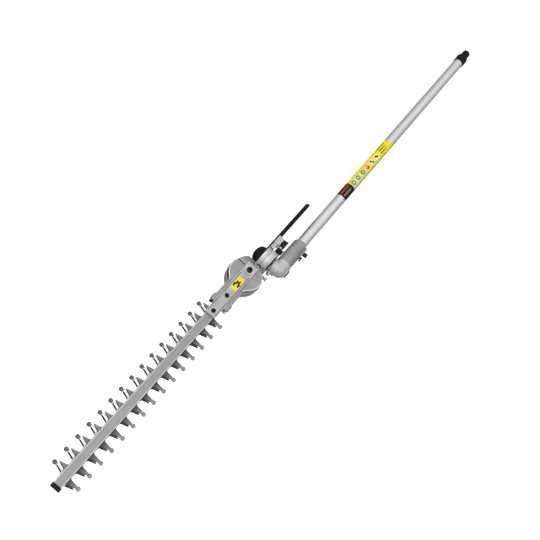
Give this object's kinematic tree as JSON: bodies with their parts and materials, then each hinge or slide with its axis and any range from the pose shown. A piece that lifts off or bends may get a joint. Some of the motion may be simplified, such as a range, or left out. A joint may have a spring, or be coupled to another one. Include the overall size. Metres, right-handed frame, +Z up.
{
  "type": "hedge trimmer",
  "caption": "Hedge trimmer attachment: two toothed reciprocating blades on a cast gear head that tilts on a locking joint at the end of a straight aluminium pole.",
  "frame": {"origin": "middle of the tool's length and width, at the height of its lowest point", "axes": "+X along the pole from the blade towards the pole's end, +Y along the tilt axis towards the domed cap, +Z up, from the blades towards the guide bar"},
  "size_m": [1.5184, 0.1146, 0.0637],
  "materials": {
    "tube_aluminium": "satin drawn tube",
    "cast_aluminium": "fine cast, silver painted",
    "bar_aluminium": "satin extruded",
    "blade_steel": "ground and plated",
    "machined_steel": "machined",
    "black_steel": "black oxide",
    "black_plastic": "fine texture",
    "bush_rubber": "matt"
  },
  "bodies": {
    "pole": {"shaft_tube": "tube_aluminium", "tube_end_cap": "black_plastic", "shaft_bush_1": "bush_rubber", "shaft_bush_2": "bush_rubber", "shaft_bush_3": "bush_rubber", "shaft_bush_4": "bush_rubber", "tube_socket": "cast_aluminium", "clamp_screw": "machined_steel", "locating_screw": "black_steel", "shaft_bearing": "machined_steel", "upper_gear_case": "cast_aluminium", "case_plug": "black_steel", "lug_nut": "machined_steel", "pivot_sleeve": "machined_steel", "detent_disc": "black_steel", "cross_bearing": "machined_steel"},
    "head": {"lower_case_top": "cast_aluminium", "lower_case_bottom": "cast_aluminium", "pinion_bearing": "machined_steel", "crank_bearing": "machined_steel", "spine_plate": "cast_aluminium", "spine_screw_1": "black_steel", "spine_screw_2": "black_steel", "spine_bolt_washer": "cast_aluminium", "spine_bolt": "black_steel", "grease_nipple": "machined_steel", "lug_bolt_left": "black_steel", "lug_bolt_right": "black_steel", "cover_screw_1": "machined_steel", "cover_screw_2": "machined_steel", "cover_screw_3": "machined_steel", "cover_screw_4": "machined_steel", "pivot_drum_left": "cast_aluminium", "pivot_drum_right": "cast_aluminium", "pivot_dome_cap": "black_plastic", "lever_plate": "black_steel", "lever_grip": "black_plastic", "trigger_block": "cast_aluminium", "guide_bar": "bar_aluminium", "bar_tip_cap": "black_plastic", "blade_screw_1": "machined_steel", "blade_screw_2": "machined_steel", "blade_screw_3": "machined_steel", "blade_screw_4": "machined_steel", "blade_screw_5": "machined_steel"},
    "lock_trigger": {"release_trigger": "black_plastic", "trigger_rod": "machined_steel", "rod_collar": "cast_aluminium", "lock_pawl": "black_steel"},
    "crank": {"crank_wheel": "machined_steel"},
    "pinion": {"pinion_shaft": "machined_steel", "inner_bevel_gear": "machined_steel", "crank_pinion": "machined_steel"},
    "cross_shaft": {"cross_shaft": "machined_steel", "upper_bevel_gear": "machined_steel", "lower_bevel_gear": "machined_steel"},
    "drive_shaft": {"drive_shaft": "machined_steel", "drive_bevel_gear": "machined_steel"},
    "upper_blade": {"upper_blade": "blade_steel"},
    "lower_blade": {"lower_blade": "blade_steel"}
  },
  "joints": [
    {"name": "head_tilt", "type": "hinge", "parent": "pole", "child": "head", "pos_m": [-0.12375, 0.01735, 0.0317], "axis": [0, 1, 0], "range_deg": [-75, 90]},
    {"name": "lock_travel", "type": "slide", "parent": "head", "child": "lock_trigger", "axis": [1, 0, 0], "range_m": [-0.0028, 0.004], "stiffness_N_per_m": 400},
    {"name": "crank_turn", "type": "hinge", "parent": "head", "child": "crank", "pos_m": [-0.18575, 0.01735, 0.0297], "axis": [0, 0, -1], "range_deg": [-90, 30]},
    {"name": "upper_blade_slide", "type": "slide", "parent": "head", "child": "upper_blade", "axis": [1, 0, 0], "range_m": [-0.00831, 0.00279]},
    {"name": "lower_blade_slide", "type": "slide", "parent": "head", "child": "lower_blade", "axis": [1, 0, 0], "range_m": [-0.00279, 0.00831]},
    {"name": "pinion_spin", "type": "hinge", "parent": "head", "child": "pinion", "pos_m": [-0.16375, 0.00735, 0.0317], "axis": [1, 0, 0], "range_deg": [-66, 195]},
    {"name": "cross_shaft_spin", "type": "hinge", "parent": "pole", "child": "cross_shaft", "pos_m": [-0.12375, -0.00765, 0.0317], "axis": [0, 1, 0], "range_deg": [-195, 66]},
    {"name": "drive_shaft_spin", "type": "hinge", "parent": "pole", "child": "drive_shaft", "pos_m": [-0.02375, -0.02915, 0.0317], "axis": [1, 0, 0], "range_deg": [-66, 195]}
  ],
  "couplings": [
    {"joint": "upper_blade_slide", "follows": "crank_turn", "m_per_rad": 0.00528},
    {"joint": "lower_blade_slide", "follows": "crank_turn", "m_per_rad": -0.00528},
    {"joint": "pinion_spin", "follows": "crank_turn", "ratio": -2.155},
    {"joint": "cross_shaft_spin", "follows": "crank_turn", "ratio": 2.155},
    {"joint": "drive_shaft_spin", "follows": "crank_turn", "ratio": -2.155}
  ]
}
